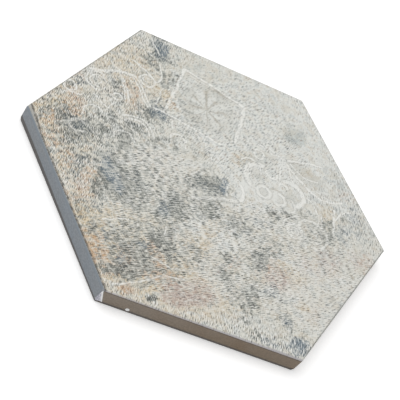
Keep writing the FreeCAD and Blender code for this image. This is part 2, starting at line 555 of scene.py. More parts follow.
wander = put(face_finish, "TexNoise", {
    "Vector": level, "Scale": 0.22, "Detail": 3.0, "Roughness": 0.7}).outputs["Color"]
wander = aim(face_finish, "SUBTRACT", wander, (0.5, 0.5, 0.5))[0]


def strayed(amount):
    """Place on the face, led astray by a share of the amount, so that no edge is exact."""
    scaled = aim(face_finish, "MULTIPLY", wander, (amount, amount, 0))[0]
    return aim(face_finish, "ADD", level, scaled)[0]


for_stains = strayed(9.0)
for_lines = strayed(3.0)


def stains(*rows):
    """Density of one ink: the sum of its stains, each x, y, half sizes, turn and depth."""
    total = 0.0
    for x, y, half_x, half_y, turn, depth in rows:
        one = use(face_finish, stain, Place=for_stains, Centre=(x, y, 0),
                  Along=heading(turn) / half_x, Across=heading(turn + 90) / half_y, Depth=depth)
        total = plus(total, one["Ink"])
    return total


def lines(*rows):
    """Strength of one set of strokes, each x, y, end x, end y, half width and depth."""
    most = 0.0
    for x, y, end_x, end_y, half_width, depth in rows:
        one = use(face_finish, stroke, Place=for_lines, Start=(x, y, 0),
                  Along=(end_x - x, end_y - y, 0), Half_Width=half_width, Depth=depth)
        most = reckon(face_finish, "MAXIMUM", most, one["Ink"])
    return most


def curls(*rows):
    """Strength of bent strokes, each x, y, radius, from and to degrees, half width and depth."""
    most = 0.0
    for x, y, radius, start, end, half_width, depth in rows:
        least = math.cos(math.radians((end - start) / 2)) if end - start < 360 else -2
        one = use(face_finish, curl, Place=for_lines, Centre=(x, y, 0), Radius=radius,
                  Middle=heading((start + end) / 2), Least_Cosine=least, Half_Width=half_width,
                  Depth=depth)
        most = reckon(face_finish, "MAXIMUM", most, one["Ink"])
    return most


def swing(value, amount, middle=0.5):
    """A value of 0 to 1 turned into a swing of the given amount about the middle."""
    return reckon(face_finish, "MULTIPLY_ADD", less(value, 0.5), amount, middle)


# Grains of four sizes, from the finest to soft clouds.
dust = use(face_finish, grain, Place=level, Size=0.6)["Grain"]
patch = use(face_finish, grain, Place=level, Size=2.8)["Grain"]
drift = use(face_finish, grain, Place=level, Size=6.0)["Grain"]
cloud = use(face_finish, grain, Place=level, Size=9.0)["Grain"]

# The brush went upright on the left, steeply over the top, and slanting below.
upright, slanting, steep = [
    use(face_finish, dabs, Place=level, Turn=(0, 0, math.radians(turn)), Size=(0.8, width, 1))
    for turn, width in ((84, 0.38), (26, 0.38), (56, 0.4))]
over_top = stains((10, 45, 45, 38, 0, 1.2), (48, -6, 24, 14, 0, 0.8))
below = stains((-22, -56, 36, 22, 0, 1.3), (45, -34, 48, 34, 0, 1.3), (-30, -14, 28, 22, 20, 1.3))
below = reckon(face_finish, "MINIMUM", below, 1.0)
brushed = put(face_finish, "Mix", {0: over_top, 2: upright["Gaps"], 3: steep["Gaps"]}).outputs[0]
brushed = put(face_finish, "Mix", {0: below, 2: brushed, 3: slanting["Gaps"]}).outputs[0]
tooth = reckon(face_finish, "MULTIPLY_ADD", brushed, 0.92, times(dust, 0.08))


def soft_coat(under, colour, ink):
    """Lays a wash of ink, a little cloudy."""
    worn = plus(swing(cloud, 0.25, 0.0), ink)
    return over(under, colour, fade(worn, 0.08, 1.0, 0.0, 0.85))


def grainy_coat(under, colour, ink, most, spread, low, high, clumps=-0.5):
    """Lays a grainy ink: the denser it is, the more of its grains have taken."""
    taken = plus(swing(tooth, spread, 0.0), ink)
    taken = plus(swing(patch, clumps, 0.0), taken)
    return over(under, colour, fade(taken, low, high, 0.0, most))


# How quiet the print is: most over the top and the right, where brush and grains are faint.
# Over the top and the right this paleness and quiet is partly painted sheen.
quiet_and_sheen = stains(
    (45, 60, 55, 42, -25, 1.0), (20, 28, 24, 24, 0, 0.7), (-8, 58, 20, 22, 0, 0.5),
    (84, 18, 16, 24, 0, 0.4), (67, -49, 16, 14, 0, 0.8))

# The washes on the cream ground: chalk white, cream, cool grey, ochre, dull pink, blue grey
# and straw, and then a warm tone, most of it on the left. The chalk white over the top and the
# right is partly painted sheen.
glaze = lay(face_finish, tint("#d2d1c7"), tint("#dbdbd3"), cloud)
glaze = soft_coat(glaze, "#e6e8e4", stains(
    (42, 58, 52, 44, 0, 1.0), (20, 25, 26, 26, 0, 0.8), (80, 20, 26, 30, 0, 0.5),
    (14, -4, 8, 10, 0, 0.7), (34, 8, 18, 18, 0, 0.8), (0, -34, 13, 12, 0, 1.0),
    (30, 20, 14, 10, 0, 0.8), (64, -49, 24, 20, 0, 1.3), (-30, 0, 22, 9, 10, 0.6),
    (-6, 45, 22, 20, 0, 1.3), (2, 31, 14, 8, 0, 0.9), (2, -62, 14, 9, 0, 0.5),
    (14, -30, 8, 7, 0, 0.5), (48, -32, 9, 7, 0, 0.5)))
glaze = soft_coat(glaze, "#dcdad1", stains(
    (62, -48, 22, 36, -30, 0.5), (-30, -2, 24, 9, 20, 0.7), (0, -62, 22, 9, 20, 0.5)))
glaze = soft_coat(glaze, "#cfd1cb", stains(
    (-66, 37, 10, 9, 20, 0.9), (-67, 16, 8, 9, 0, 1.0), (-22, 30, 12, 40, 0, 0.5),
    (24, 27, 9, 6, 30, 0.7), (43, 57, 9, 6, 40, 0.7)))
glaze = soft_coat(glaze, "#b8a380", stains(
    (-34, -66, 24, 13, 10, 1.3), (-62, -58, 10, 18, 30, 0.8), (-84, 0, 10, 14, 0, 0.5)))
glaze = soft_coat(glaze, "#cbb8ab", stains(
    (36, -44, 10, 9, 20, 0.8), (60, -28, 14, 7, 20, 0.5), (84, -14, 10, 6, 60, 0.5),
    (-10, -73, 15, 9, 20, 0.8), (54, -58, 8, 6, 0, 0.3), (-62, -30, 6, 12, -15, 0.4)))
glaze = soft_coat(glaze, "#b2bbba", stains(
    (46, 56, 7, 6, 30, 0.8), (70, 37, 9, 5, -50, 0.4), (34, 75, 9, 5, 0, 0.3),
    (88, 6, 6, 10, 0, 0.3)))
glaze = soft_coat(glaze, "#cdc7b4", stains(
    (-54, 58, 13, 16, 0, 0.9), (-80, 8, 18, 26, 0, 0.7), (-38, -44, 16, 10, 20, 0.7),
    (-30, -72, 34, 14, 0, 0.6), (-10, 67, 7, 6, 60, 0.5)))
warm = stains(
    (-83, -14, 17, 58, 20, 0.95), (-36, -72, 42, 17, 0, 0.95), (-58, 50, 22, 24, 0, 0.6),
    (45, -45, 34, 26, -30, 0.15), (-40, -52, 26, 12, 10, 0.45), (0, -48, 14, 8, 0, 0.3))
glaze = over(glaze, "#dcc298", times(warm, fade(drift, 0.0, 0.8, 0.2, 0.65)))
busy = reckon(face_finish, "MULTIPLY_ADD", quiet_and_sheen, -0.3, 1.0)
glaze = over(glaze, "#b9ac92", times(busy, fade(drift, 0.58, 0.82, 0.0, 0.4)))
glaze = over(glaze, "#a9b2b1", times(busy, fade(drift, 0.36, 0.14, 0.0, 0.4)))
glaze = over(glaze, "#dfe0da", times(busy, fade(cloud, 0.6, 0.85, 0.0, 0.4)))

# The earth colours: straw, peach and a dull pink.
glaze = grainy_coat(glaze, "#cfba92", stains(
    (-2, -35, 5, 12, -15, 0.6), (-8, -45, 7, 7, 0, 0.5), (14, 23, 6, 5, 40, 0.5),
    (58, -48, 10, 9, 40, 0.15), (-33, 46, 5, 5, 0, 0.8), (66, 8, 5, 8, 0, 0.6),
    (43, -39, 8, 5, -15, 0.7), (-52, -45, 13, 7, 20, 0.4), (52, -57, 3, 3, 0, 0.6),
    (8, -72, 8, 7, 0, 0.4), (-88, 3, 7, 12, -30, 0.5), (-28, 40, 3, 4, 0, 0.6),
    (53, 32, 5, 3, 40, 0.5), (-60, -70, 12, 7, 20, 0.4)), 0.7, 0.9, 0.0, 1.1)
glaze = grainy_coat(glaze, "#be9875", stains(
    (-79, 15, 6, 10, 10, 0.75), (-85, -12, 6, 6, -30, 0.6), (-66, -33, 6, 14, -15, 0.6),
    (-50, 37, 6, 10, 15, 0.6), (-47, 64, 4, 3, -30, 0.5), (-28, 41, 2, 4, -15, 0.4),
    (-58, -65, 8, 7, -40, 0.9), (-40.8, -63, 4.5, 5, 0, 1.3), (-22, -69, 6, 5, 0, 1.1),
    (-36, -69, 9, 5, 0, 0.8), (-81, 2, 8, 7, 0, 0.5), (-50, -73, 8, 6, 0, 0.7),
    (-40, -82, 5, 3, 0, 0.9), (-28, -58, 5, 7, 20, 1.1), (12, -48, 1.6, 6, -40, 0.7),
    (32, -42, 3, 3.2, 0, 0.7), (-79, 34, 3, 3, 0, 0.5), (77, 27, 6, 4, 0, 0.3),
    (88, -15, 7, 5, 60, 0.4), (-49, 39, 2, 3, 0, 0.4), (-90, 0, 4, 9, -30, 0.6),
    (-76, -22, 5, 6, 0, 0.6), (10, 22, 3, 3, 0, 0.2)), 0.8, 1.1, 0.05, 1.15)
glaze = grainy_coat(glaze, "#ab958c", stains(
    (-11, -73, 12, 7, 25, 1.1), (37, -44, 7, 6, 20, 0.8), (66, -20, 8, 5, 20, 0.6),
    (-18, -78, 5, 5, 0, 0.5), (-84, -5, 2, 8, 10, 0.5), (6, -53, 3, 3, 0, 0.5),
    (-25, -50, 6, 7, 30, 0.4), (2, -71, 5, 5, 0, 0.4), (90, -12, 6, 5, 60, 0.3)),
    0.75, 0.9, 0.1, 1.1)

# The grey grains, dense in patches.
slate = stains(
    # thin over the left half and the middle
    (-34, -36, 52, 42, 10, 0.42), (-66, 10, 34, 34, 0, 0.24), (24, -38, 24, 30, 0, 0.1),
    (72, 2, 24, 12, 10, 0.1), (80, 14, 12, 12, 0, 0.24), (-38, 64, 14, 12, 0, 0.24),
    (-34, 28, 16, 12, 0, 0.14), (0, 2, 10, 8, 0, 0.2), (30, -66, 16, 14, 0, 0.12),
    (-38, -63, 24, 14, 0, 0.3), (-76, -1, 14, 12, 0, 0.22), (52, 30, 8, 4, -20, 0.3),
    (-48, 48, 10, 8, 0, 0.2), (-48, -33, 7, 5, 0, 0.15), (58, 6, 14, 10, 0, 0.12),
    (14, 2, 8, 6, 0, 0.15),
    # rubbed away again
    (0, -34, 10, 10, 0, -0.3), (-48, -16, 9, 7, 0, -0.14), (-30, 0, 20, 7, 10, -0.16),
    (64, -48, 18, 15, 0, -0.14), (32, 16, 16, 12, 0, -0.12), (14, -30, 10, 8, 0, -0.14),
    (0, -62, 14, 9, 0, -0.16), (4, -48, 12, 7, 0, -0.12), (-58, -46, 16, 8, 0, -0.16),
    (-17, 2, 7, 7, 0, -0.15), (-62, -32, 8, 6, 0, -0.15), (-30, 17, 9, 7, 0, -0.1),
    (-16, -32, 8, 8, 0, -0.1), (16, -10, 16, 6, 0, -0.1), (-58, -65, 8, 7, -40, -0.25),
    (-25, -62, 7, 8, 0, -0.15), (-11, -73, 11, 6, 25, -0.25), (36, -44, 7, 6, 0, -0.15),
    (-18, -46, 9, 8, 0, -0.12), (14, -16, 9, 5, 0, -0.12), (64, -49, 16, 14, 0, -0.4),
    (32, -17, 9, 5, 0, -0.2), (-66, -32, 8, 8, 0, -0.15), (-62, -47, 10, 8, 0, -0.12),
    (84, -4, 8, 10, 0, -0.1), (-32, 33, 14, 8, 0, -0.12), (-16, -33, 9, 7, 0, -0.1),
    (-65, -16, 8, 12, 0, -0.2),
    # down from the far left corner
    (-38, 79, 6, 10, 12, 0.8), (-44.5, 67, 3, 2.5, 0, 0.7), (-41, 63.5, 2.5, 3, 30, 0.45),
    (-32, 56.5, 4.5, 6, 0, 0.5), (-26, 64, 2, 3, 60, 0.4), (-28, 72, 4, 3, 60, 0.25),
    (-58, 36, 3.5, 7, 10, 0.5), (-77, 31, 3, 2.5, 0, 0.4),
    # round the rings on the left
    (-50, 16, 3, 3, 0, 0.5), (-44, 15, 3, 3, 0, 0.4), (-50, 10, 3, 2.5, 0, 0.5),
    (-58, 16, 2, 5, 0, 0.5), (-61, 12, 2, 2, 0, 0.4), (-40, 27, 5, 4, 0, 0.5),
    (-36, 39, 6, 5, 0, 0.3), (-34, 31, 6, 5, 0, 0.6), (-83, 25, 2.5, 2.5, 0, 0.35),
    (-34, 12, 4, 3, 0, 0.4), (-28, 16, 3, 3, 0, 0.4), (-22, 12, 3, 2.5, 0, 0.4),
    (-12, 14, 3, 2.5, 0, 0.35), (-6, 17, 2.5, 3, 0, 0.4), (-17, 38, 7, 3.5, -50, 0.45),
    (-22, 44, 1.6, 3, 0, 0.4), (-12, 26, 8, 4, 0, 0.2),
    # left of the middle
    (-75, 0, 7, 6, 0, 0.65), (-63, 5, 4, 2, 0, 0.5), (-51, 4, 4, 5, 0, 0.6),
    (-52, -2, 3, 1.2, -20, 0.5), (-54, -20, 6, 11, 12, 0.65), (-45, -16, 5, 2.5, 0, 0.4),
    (-45, -22, 7, 5, 30, 0.4), (-61, -34, 3, 6, 10, 0.5), (-59, -30, 4, 7, 0, 0.4),
    (-26, -30, 4, 5, 0, 0.4), (-20, -24, 5, 7, 0, 0.55), (-18, -31, 3, 4, 0, 0.4),
    (-69, -18, 4, 3, 0, 0.35), (-72, -26, 2, 4, 0, 0.35), (-91, 3, 3, 9, -30, 0.35),
    (-80, -14, 5, 6, 0, 0.1), (-84, 6, 4, 5, 0, 0.45), (-40, -28, 7, 6, 30, 0.25),
    # towards the near left corner
    (-43.5, -47.5, 3, 2.5, 0, 0.5), (-59, -55, 2.5, 4, 0, 0.5), (-24, -49, 5, 5, 0, 0.6),
    (-21, -54, 3, 4, 0, 0.5), (-30, -47, 3, 3, 0, 0.4), (-37, -60, 7, 5, 0, 0.25),
    (-33, -65, 5, 4, 0, 0.35), (-42, -73, 7, 4, 0, 0.5), (-52, -75, 6, 3, -20, 0.3),
    (-27.5, -83.5, 4.5, 1.3, 25, 0.7), (-62, -45, 7, 5, 0, 0.3), (-68, -50, 4, 6, 0, 0.3),
    # the middle
    (-9, -4, 7, 5, 10, 0.6), (1, -3, 5, 6, 0, 0.45), (-2, -17, 6, 5, 20, 0.38),
    (-2, -23, 5, 4, 0, 0.5), (16, -14, 4.5, 2.5, -20, 0.35), (12, -20, 4.5, 3, 25, 0.5),
    (18, -23, 3, 3, 0, 0.45), (6, -26, 3, 2.5, 0, 0.35), (13, -27, 3, 2.5, 0, 0.35),
    (31, -13, 4, 3, 0, 0.2), (-12, -28, 6, 5, 0, 0.25),
    # towards the front side
    (33, -23, 5, 3.5, 0, 0.32), (37, -27, 3, 3, 0, 0.3), (43, -20, 3, 3, 0, 0.35),
    (33, -31, 3, 3.5, 0, 0.5), (27, -31, 3, 2.5, 0, 0.4), (28, -36, 4.5, 3, 0, 0.5),
    (23, -38, 3, 2.5, 0, 0.45), (28.5, -42, 2.5, 2.5, 0, 0.5), (24, -43, 3, 2.5, 0, 0.4),
    (8, -45, 3.5, 3, 0, 0.6), (6, -53, 3, 3, 0, 0.4), (9, -57, 3.5, 5, 0, 0.5),
    (22, -60, 4, 6, 0, 0.5), (24, -66, 3.5, 2.5, 0, 0.45), (20, -71, 3.5, 3.5, 0, 0.45),
    (19, -77, 4, 2, 0, 0.4), (26, -83, 4, 3, 0, 0.5), (42, -68, 3.5, 4, -30, 0.5),
    (44, -73, 3, 2.5, 0, 0.4), (49, -78, 4, 3, 0, 0.4), (-8, -50, 5, 7, 30, 0.25),
    (13, -66, 5, 5, 0, 0.3), (-22, -40, 7, 4, 30, 0.3), (34, -54, 4, 4, 0, 0.35),
    # under the ornament and by the right corner
    (33, -6, 4, 3, 10, 0.6), (42, -2.3, 4, 2, -15, 0.8), (38, -8, 4, 2, 0, 0.6),
    (34, -12, 3, 1.5, 20, 0.5), (65, -2, 5, 8, 0, 0.4), (67.8, -2, 1.3, 6, 0, 0.5),
    (77, 11, 4, 2.5, 40, 0.5), (83.5, 20, 3, 6, 20, 0.4), (75, 0, 5, 7, 0, 0.35),
    (58, 43, 2, 3, 0, 0.3), (70, 33, 4, 2.5, 0, 0.3), (53, 33, 7, 4, 20, 0.2),
    (70, -12, 7, 6, 0, 0.25), (58, -10, 9, 4, 20, 0.3), (82, -8, 6, 6, 0, 0.1),
    (51, 4, 5, 4, 30, 0.35))
slate = reckon(face_finish, "MULTIPLY_ADD", slate, 1.35, swing(patch, 1.0, 0.0))
# Fewer grey grains where the print is quiet, which over the top and the right is partly painted
# sheen.
slate = reckon(face_finish, "MULTIPLY_ADD", quiet_and_sheen, -0.8, slate)
glaze = over(glaze, "#7f8580", fade(slate, 0.2, 1.1, 0.0, 0.6))
glaze = grainy_coat(glaze, "#4f5551", slate, 0.8, 1.5, 0.4, 1.3, 0.0)

# The blue grains, in small clusters, mostly on the dense grey.
cobalt = stains(
    (-38, 80, 5, 9, 12, 0.8), (-35.3, 79.5, 1.4, 5, 5, 0.5), (-33.5, 30.5, 5.5, 4, 0, 0.8),
    (-56, -19, 4.5, 6, 15, 0.8), (-58, -13, 2, 5, 0, 0.6), (-49.5, -27, 3, 3.5, 0, 0.8),
    (-53, -24, 4, 5, 20, 0.5), (-26, -30, 3.5, 4, 0, 0.8), (-36, 38, 6, 4, 0, 0.45),
    (5, 0, 2, 5, 0, 0.7), (3, -2, 4, 6, 0, 0.45), (50, -81, 5.5, 5, 40, 0.9),
    (40, -84, 9, 3, 0, 0.45), (49, -78, 4, 3, 0, 0.6), (33, -53.5, 3.5, 3.5, 0, 0.8),
    (42, -68, 3.5, 3.5, -30, 0.6), (-34, -55, 3, 2.5, 0, 0.7), (-44.5, -67, 2, 3, 0, 0.8),
    (75, -1, 5, 7, 0, 0.5), (-72, -26, 2.5, 5, 0, 0.5), (31, -13, 3, 2.5, 0, 0.5),
    (26, -15, 5, 3, 0, 0.3), (-75, 1, 7, 5, 0, 0.45), (-53.5, -58, 2, 4, 15, 0.6),
    (-60, -42, 5, 5, 0, 0.4), (33, -84, 4, 3, 0, 0.5), (-69, -18, 4, 3, 0, 0.4),
    (68, -49, 6, 5, 0, 0.25), (82, 18, 5, 8, 10, 0.3), (-78, 31, 4, 3, 0, 0.4),
    (-7, -6, 6, 5, 0, 0.35), (20, -15, 4, 3, 0, 0.3), (84, 6, 5, 8, 0, 0.3),
    (11, -2, 2, 5, 0, 0.35), (-14, 38, 5, 4, -45, 0.3), (-44, -20, 8, 5, 30, 0.3),
    (38, -56, 4, 4, 0, 0.25))
glaze = grainy_coat(glaze, "#5c7080", cobalt, 0.85, 2.1, 0.15, 1.1, 0.1)

# The dry brush over all of it: light on its dabs and darker in the gaps, fainter where the
# print is quiet and where the painted sheen lies over the top and the right.
glaze = over(glaze, "#b7b5a9", fade(patch, 0.45, 1.0, 0.0, 0.2))
liveliness = reckon(face_finish, "MINIMUM", quiet_and_sheen, 1.0)
liveliness = reckon(face_finish, "MULTIPLY_ADD", liveliness, -0.8, 1.0)
glaze = over(glaze, "#e9e8e1", times(fade(tooth, 0.5, 0.05, 0.0, 0.42), liveliness))
shade = plus(times(swing(tooth, -0.5, 0.0), liveliness), 0.5)
shade = put(face_finish, "CombineColor", {0: shade, 1: shade, 2: shade}).outputs[0]
glaze = lay(face_finish, glaze, shade, 1.0, "OVERLAY")


def hair_marks(turn, length, width):
    """Marks of the single hairs of the brush, by their heading, length and width."""
    turned = put(face_finish, "Mapping", {
        0: level, 2: (0, 0, math.radians(turn)), 3: (length, width, 1)}, vector_type="TEXTURE")
    return put(face_finish, "TexNoise", {
        "Vector": turned.outputs[0], "Scale": 1.0, "Detail": 1.0}).outputs[0]


long_hairs = times(fade(hair_marks(24, 9, 0.6), 0.5, 0.72, 0.0, 0.7), below)
glaze = over(glaze, "#e2e1d8", reckon(face_finish, "MINIMUM", long_hairs, 0.5))
cross_hairs = times(fade(hair_marks(-52, 7, 0.55), 0.54, 0.74, 0.0, 0.55), liveliness)
glaze = over(glaze, "#e2e1d8", cross_hairs)

# Under the ornament, faint remains of older scrolls run all over the print.
remains = put(face_finish, "TexNoise", {"Vector": for_lines, "Scale": 0.11, "Detail": 1.5})
remains = size_of(less(remains.outputs[0], 0.5))
scrolls = times(fade(remains, 0.045, 0.012, 0.0, 0.45), fade(drift, 0.2, 0.6))
glaze = over(glaze, "#e4e3da", scrolls)
scrolls = fade(size_of(less(remains, 0.15)), 0.04, 0.01, 0.0, 0.4)
glaze = over(glaze, "#e4e3da", times(scrolls, fade(cloud, 0.65, 0.35)))

# The ornament: the rosette in its frame, with leaves, stems, rings and scrolls around it.
under_rosette = stains(
    (-8, 48, 15, 15, 0, 1.0), (22.8, 16.5, 3, 3.5, 0, 0.9), (43.5, 11, 4, 4, 0, 0.8),
    (27.4, 6.8, 2.2, 2.2, 0, 1.0), (36, 5.5, 2.2, 2.2, 0, 0.8), (52, 30, 12, 6, -20, 1.0),
    (4, 63, 9, 3, -12, 0.7), (50, 0, 14, 8, -20, 0.5))
glaze = over(glaze, "#bfbdb2", fade(under_rosette, 0.1, 1.0, 0.0, 0.4))
petals = stains(
    (-6, 55.5, 5, 2.0, 68, 0.9), (-1.2, 53, 6, 2.3, 35, 0.9), (-0.5, 46.3, 5.5, 2.3, -8, 0.9),
    (-3.8, 41, 5, 2.5, -66, 0.8), (-8.8, 41, 5, 1.3, 88, 0.8), (-13, 43.5, 4.5, 2.2, 32, 0.9),
    (-15.5, 50.3, 5.5, 2.0, -10, 0.9), (-12.3, 55.5, 5.5, 2.2, -66, 0.9),
    (38, 31.5, 2.3, 3.6, 0, 1.6), (15.2, 1, 1.5, 6.5, 0, 0.9), (22, 21, 6, 4.5, 20, 0.7),
    (18, 9, 3.5, 6, 0, 0.7), (34, 16, 5, 4, 0, 0.6), (27.4, 7, 6, 6, 0, 0.6),
    (36.3, 5.6, 5.5, 5, 0, 0.6), (44.5, 18.5, 5, 3, -20, 0.6), (49, 11, 2.5, 7, 0, 0.6),
    (46, -11.5, 5, 5, 0, 0.5), (38, 37, 8, 2.5, 0, 0.4))
glaze = over(glaze, "#e6e7e2", fade(petals, 0.1, 1.2, 0.0, 0.9))
valleys = lines(
    (-9.3, 61, -8.4, 49, 0.55, 0.9), (-3, 57, -7.2, 49.2, 0.45, 0.8),
    (2, 50.3, -6.5, 47.6, 0.4, 0.8), (-6.3, 46.4, 0, 41.3, 0.5, 0.9),
    (-7.9, 46, -7.1, 37, 0.4, 0.7), (-9.6, 45.2, -14, 40.8, 0.4, 0.7),
    (-11, 47.6, -18.5, 46, 0.45, 0.8), (-10.6, 50, -17, 54.4, 0.5, 0.8),
    (-7.3, 65.3, 3.6, 62.6, 0.7, 1.0), (3.5, 62, 9.5, 61, 0.5, 0.7), (16, 16, 19, 10, 0.5, 0.5),
    (32, 11, 38, 11.5, 0.6, 0.7), (28, 19, 23, 20, 0.7, 0.4), (44, 35, 51, 37, 0.7, 0.6),
    (42, 31, 47, 26, 0.6, 0.6), (-53, 44, -47, 30, 0.7, 0.5), (-66, 43, -60, 46, 0.6, 0.4),
    (-36, 44, -30, 33, 0.6, 0.4))
glaze = over(glaze, "#a69d8c", fade(valleys, 0.2, 0.9, 0.0, 0.5))


def through(half_width, depth, *points):
    """Rows for one stroke that is drawn through the given points."""
    return [(*start, *end, half_width, depth) for start, end in zip(points, points[1:])]


# The white strokes, first the straight runs, then the rings and the bent ones.
white_lines = lines(
    *through(0.7, 0.9, (-23, 71), (-6, 67.4), (2.4, 64.7), (14.5, 61.7)),
    *through(0.45, 0.7, (-21.8, 68.4), (-12.7, 66.6), (-5, 64.9)), (3, 62.3, 13.3, 60, 0.45, 0.7),
    *through(1.0, 0.85, (13.9, 60.8), (12.7, 51), (11.9, 45)),
    *through(0.9, 0.75, (11.9, 45), (10.5, 39), (9.5, 33)),
    *through(0.4, 0.55, (10.6, 59), (9.6, 52), (8, 46)),
    *through(0.7, 0.8, (-23, 70.5), (-25.5, 60.8), (-25.8, 54.7), (-28.5, 46.2), (-30.9, 36.5)),
    *through(0.6, 0.75, (-37.6, 33.5), (-21.8, 31.7), (-10.9, 29.2), (2.4, 26.8)),
    *through(0.8, 0.85, (-74.1, 42.2), (-65.8, 44.7), (-61.3, 47.8), (-56.9, 49.7), (-50.2, 50)),
    *through(0.5, 0.8, (-58.6, 48.3), (-55.2, 42.2), (-52.4, 37.2), (-51.3, 31.1), (-52.4, 27.8)),
    *through(0.5, 0.7, (-57.6, 44), (-54.4, 38), (-53.6, 31)),
    *through(0.45, 0.8, (-49.2, 49.5), (-45, 43.8), (-42.2, 37.6), (-39.4, 33)),
    *through(0.45, 0.8, (-50.6, 48.3), (-46.8, 42.6), (-44, 36.6), (-41.2, 32.2)),
    *through(0.55, 0.8, (-52.4, 61.1), (-45.8, 58.3), (-40.2, 53.9)),
    *through(0.5, 0.8, (-37.4, 66), (-35.2, 57.2), (-36.9, 52.8), (-39.5, 51.5)),
    *through(0.45, 0.6, (-64.1, 54.4), (-62.5, 51.5), (-58, 50.3)),
    *through(0.5, 0.7, (15, 37), (25, 38.2), (31.7, 35.5), (41.5, 35.8)),
    *through(0.55, 0.9, (41.5, 35.8), (50.7, 38.8), (56, 40.4), (62, 41)),
    *through(0.6, 0.9, (40.9, 32.5), (46.8, 26), (56, 19.4), (62.5, 17.1), (69, 18), (74.7, 20.7)),
    *through(0.45, 0.8, (42.8, 34.2), (46.8, 30.5), (52, 27.6), (59.9, 28.6)),
    *through(0.4, 0.6, (44, 35.5), (52, 36), (58, 33.5)),
    *through(0.45, 0.7, (23.1, 41), (31.7, 37.8), (38, 35)), (19.5, 41.7, 19.2, 35.8, 0.4, 0.6),
    *through(0.4, 0.65, (41, 33), (44.5, 22), (46, 18)), (62, 41, 68, 39, 0.35, 0.6),
    *through(0.4, 0.6, (52, 27.6), (58, 22), (66, 21)), (57, 44, 66, 47, 0.4, 0.55),
    (36.9, 28.6, 36.6, 18.7, 0.5, 0.8), (25.3, 23.3, 25.3, 18, 0.6, 0.55),
    *through(0.6, 0.85, (69.7, 13.5), (69.4, 4.3), (69, -3.6)), (62, 5, 62.2, -4, 0.45, 0.7),
    *through(0.5, 0.8, (69.6, 6), (74, 13), (80, 17)), (-28, 52, -32, 33, 0.5, 0.7),
    (-34, 50, -37, 36, 0.4, 0.6), (-44, 83, -38, 74, 0.45, 0.8),
    (-26.7, 30, -26.4, 24.4, 0.45, 0.7), (-3.9, 17.8, -2.8, 11.7, 0.4, 0.7),
    (-18.3, 20, -17.8, 14.4, 0.4, 0.7),
    *through(1.1, 0.5, (-12, -16), (-5, -12.8), (5, -8.5), (12, -7)),
    *through(0.5, 0.6, (-47, -83), (-35, -77), (-24, -69), (-12, -66)),
    *through(0.45, 0.5, (-30, -60), (-20, -63), (-10, -60.5), (0, -57)),
    (-52.3, -12.7, -41.7, -7.1, 0.35, 0.7), (-55.9, -49.5, -43.1, -43.8, 0.35, 0.7),
    (-24.7, -45, -24, -39.6, 0.35, 0.7), *through(0.45, 0.7, (-70, 26), (-62, 20), (-58, 26)),
    (-85, 20, -76, 22, 0.5, 0.7), (-71, 5, -66, 0, 0.6, 0.4), (-84, -1, -78, 3, 0.6, 0.4))
white_curls = curls(
    (-43, 50.6, 4.2, -180, 180, 0.55, 0.7), (-44, 51.2, 1.6, 0, 300, 0.4, 0.7),
    (-69, 36, 6.3, 60, 290, 0.6, 0.7), (-69, 36, 4.2, 20, 300, 0.45, 0.6),
    (-69.5, 36, 2.2, -180, 180, 0.4, 0.5), (-57.7, 30.6, 2.3, -180, 180, 0.5, 0.8),
    (-51.3, 47, 1.4, -180, 180, 0.35, 0.7), (-82.7, 25, 3.3, -180, 180, 0.55, 0.8),
    (-46, 12, 8, 0, 140, 0.6, 0.6), (-46, 12, 10.3, 0, 140, 0.6, 0.6),
    (-22.8, 17.8, 4, -10, 190, 0.5, 0.7), (-75, 1, 4, 30, 330, 0.6, 0.5),
    (-68, 12, 6, 40, 200, 0.5, 0.7), (23.8, 31.5, 3.1, -180, 180, 0.5, 0.85),
    (25.3, 15.5, 8.8, 75, 235, 1.4, 0.6), (25.5, 16, 6.6, 90, 190, 0.4, 0.45),
    (43, 12.2, 7.9, -65, 125, 1.4, 0.65), (43, 12.2, 5.6, -40, 60, 0.35, 0.4),
    (27.4, 6.8, 3.7, -180, 180, 1.1, 0.5), (36.3, 5.5, 3.9, -130, 100, 1.0, 0.55),
    (46, -11.3, 4.3, -180, 180, 0.9, 0.6), (46, -11.3, 2.0, -180, 180, 0.4, 0.6),
    (56.5, -9, 8.6, -100, 170, 0.9, 0.55), (56.5, -9, 5.8, -60, 120, 0.5, 0.45),
    (45, 2, 15.2, -22, 62, 0.5, 0.6), (45, 2, 17.4, -18, 55, 0.45, 0.5),
    (31.7, 21.5, 3.2, 150, 390, 0.7, 0.8), (38.9, 14.5, 2.6, 0, 180, 0.6, 0.8),
    (19, 20, 6, 60, 160, 0.5, 0.7), (32, 0, 13, 200, 330, 0.5, 0.6),
    (22, 12, 4.6, 120, 300, 0.5, 0.6), (41, 4, 5, -60, 60, 0.5, 0.7),
    (-51, 4, 5.5, 0, 200, 0.5, 0.6), (9, -0.5, 7, -50, 55, 0.7, 0.9),
    (33, -53.5, 1.0, -180, 180, 0.5, 0.8), (52, -14, 14, 100, 170, 0.5, 0.6))
white_ink = reckon(face_finish, "MAXIMUM", white_lines, white_curls)
rim_of_white = times(fade(white_ink, 0.03, 0.2), fade(white_ink, 0.5, 0.3, 0.0, 0.3))
glaze = over(glaze, "#8f8e86", rim_of_white)
worn_white = times(fade(white_ink, 0.1, 0.8, 0.0, 0.9), fade(tooth, 1.0, 0.2, 0.7, 1.0))
worn_white = times(worn_white, fade(patch, 0.0, 0.8, 0.55, 1.0))
glaze = over(glaze, "#f3f3ee", worn_white)

